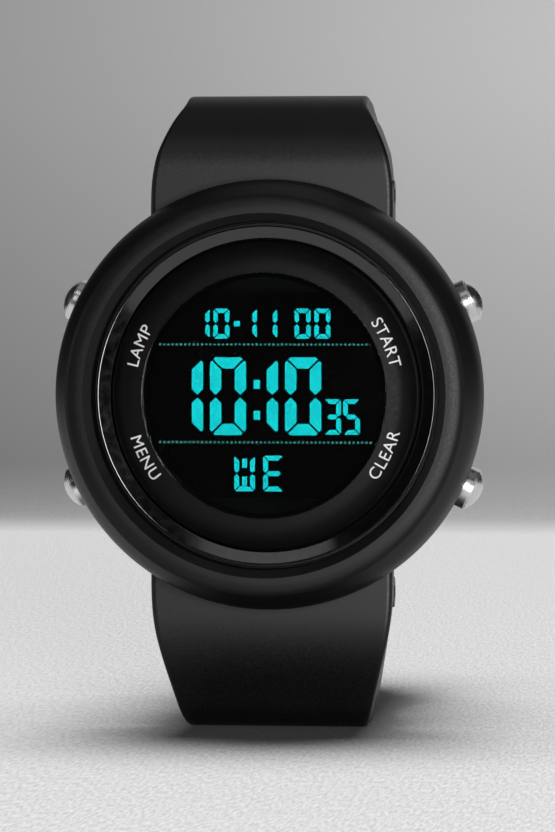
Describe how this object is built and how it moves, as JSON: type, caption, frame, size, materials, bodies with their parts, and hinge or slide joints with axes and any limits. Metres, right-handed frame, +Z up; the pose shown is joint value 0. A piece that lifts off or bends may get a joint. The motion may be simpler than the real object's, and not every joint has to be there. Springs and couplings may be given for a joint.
{
  "type": "digital watch",
  "caption": "Round digital wristwatch with a fat matte rim, side push buttons and a buckled resin strap that it stands on.",
  "frame": {"origin": "middle of the strap's flat underside, which the watch stands on", "axes": "+Z up towards 12 o'clock, -Y out of the dial, +X towards 3 o'clock"},
  "size_m": [0.05, 0.0704, 0.0746],
  "materials": {
    "bezel_resin": "matte moulded black resin",
    "case_resin": "matte moulded black resin",
    "polished_black": "polished black",
    "label_black": "satin black with white printed words",
    "crystal_clear": "clear, polished",
    "polariser_film": "smoky film",
    "display_black": "black display glass",
    "figure_cyan": "lit cyan",
    "divider_teal": "lit teal",
    "light_guide": "white diffusing plastic",
    "gasket_rubber": "soft black rubber",
    "connector_rubber": "layered grey elastomer",
    "module_plastic": "moulded natural plastic",
    "board_green": "solder mask on glass fibre",
    "chip_resin": "cast black resin",
    "spring_steel": "rolled spring sheet and wire",
    "battery_steel": "nickel-plated steel",
    "sounder_brass": "rolled brass",
    "back_steel": "brushed stainless steel",
    "button_steel": "polished stainless steel",
    "buckle_steel": "polished stainless steel",
    "strap_resin": "matte moulded polyurethane"
  },
  "bodies": {
    "case": {"bezel": "bezel_resin", "case_body": "case_resin", "polished_ring": "polished_black", "label_ring": "label_black", "crystal": "crystal_clear", "crystal_gasket": "gasket_rubber", "front_polariser": "polariser_film", "front_glass": "crystal_clear", "display_figures": "figure_cyan", "display_dividers": "divider_teal", "rear_glass": "display_black", "rear_polariser": "display_black", "backlight_panel": "light_guide", "backlight_lamp": "light_guide", "connector_strips": "connector_rubber", "module_frame": "module_plastic", "circuit_board": "board_green", "chip_cover": "chip_resin", "quartz_can": "battery_steel", "module_cover": "module_plastic", "battery_contact": "spring_steel", "battery": "battery_steel", "battery_clip": "spring_steel", "module_screws": "back_steel", "contact_springs": "spring_steel", "sounder_disc": "sounder_brass", "sounder_spring": "spring_steel", "case_back": "back_steel", "back_gasket": "gasket_rubber", "back_screws": "back_steel", "button_bushes": "back_steel", "upper_spring_bar": "spring_steel", "lower_spring_bar": "spring_steel", "lamp_spring": "spring_steel", "menu_spring": "spring_steel", "start_spring": "spring_steel", "clear_spring": "spring_steel"},
    "strap_upper": {"strap_upper": "strap_resin", "fixed_keeper": "strap_resin"},
    "strap_lower": {"strap_lower": "strap_resin"},
    "buckle": {"buckle_frame": "buckle_steel", "buckle_pin": "buckle_steel"},
    "tongue": {"buckle_tongue": "buckle_steel"},
    "sliding_keeper": {"floating_keeper": "strap_resin"},
    "lamp_pusher": {"lamp_button": "button_steel", "lamp_seal": "gasket_rubber", "lamp_retainer": "spring_steel"},
    "menu_pusher": {"menu_button": "button_steel", "menu_seal": "gasket_rubber", "menu_retainer": "spring_steel"},
    "start_pusher": {"start_button": "button_steel", "start_seal": "gasket_rubber", "start_retainer": "spring_steel"},
    "clear_pusher": {"clear_button": "button_steel", "clear_seal": "gasket_rubber", "clear_retainer": "spring_steel"}
  },
  "joints": [
    {"name": "lamp_press", "type": "slide", "parent": "case", "child": "lamp_pusher", "axis": [0.9026, 0, -0.4305], "range_m": [0, 0.001], "stiffness_N_per_m": 400, "springref_m": -0.002, "deforming": ["lamp_spring"]},
    {"name": "menu_press", "type": "slide", "parent": "case", "child": "menu_pusher", "axis": [0.9026, 0, 0.4305], "range_m": [0, 0.001], "stiffness_N_per_m": 400, "springref_m": -0.002, "deforming": ["menu_spring"]},
    {"name": "start_press", "type": "slide", "parent": "case", "child": "start_pusher", "axis": [-0.9026, 0, -0.4305], "range_m": [0, 0.001], "stiffness_N_per_m": 400, "springref_m": -0.002, "deforming": ["start_spring"]},
    {"name": "clear_press", "type": "slide", "parent": "case", "child": "clear_pusher", "axis": [-0.9026, 0, 0.4305], "range_m": [0, 0.001], "stiffness_N_per_m": 400, "springref_m": -0.002, "deforming": ["clear_spring"]},
    {"name": "upper_strap_swing", "type": "hinge", "parent": "case", "child": "strap_upper", "pos_m": [0, -0.01316, 0.0627], "axis": [1, 0, 0], "range_deg": [-0.5, 0.5]},
    {"name": "lower_strap_swing", "type": "hinge", "parent": "case", "child": "strap_lower", "pos_m": [0, -0.01316, 0.0163], "axis": [1, 0, 0], "range_deg": [-0.5, 0.5]},
    {"name": "buckle_swing", "type": "hinge", "parent": "strap_upper", "child": "buckle", "pos_m": [0, 0.03699, 0.0365], "axis": [1, 0, 0], "range_deg": [0, 10]},
    {"name": "tongue_swing", "type": "hinge", "parent": "buckle", "child": "tongue", "pos_m": [0, 0.03699, 0.0365], "axis": [1, 0, 0], "range_deg": [0, 14]},
    {"name": "keeper_slide", "type": "slide", "parent": "strap_upper", "child": "sliding_keeper", "axis": [0, 0, 1], "range_m": [-0.0026, 0.0026]}
  ],
  "couplings": [
    {"joint": "lower_strap_swing", "follows": "upper_strap_swing", "ratio": -1}
  ]
}
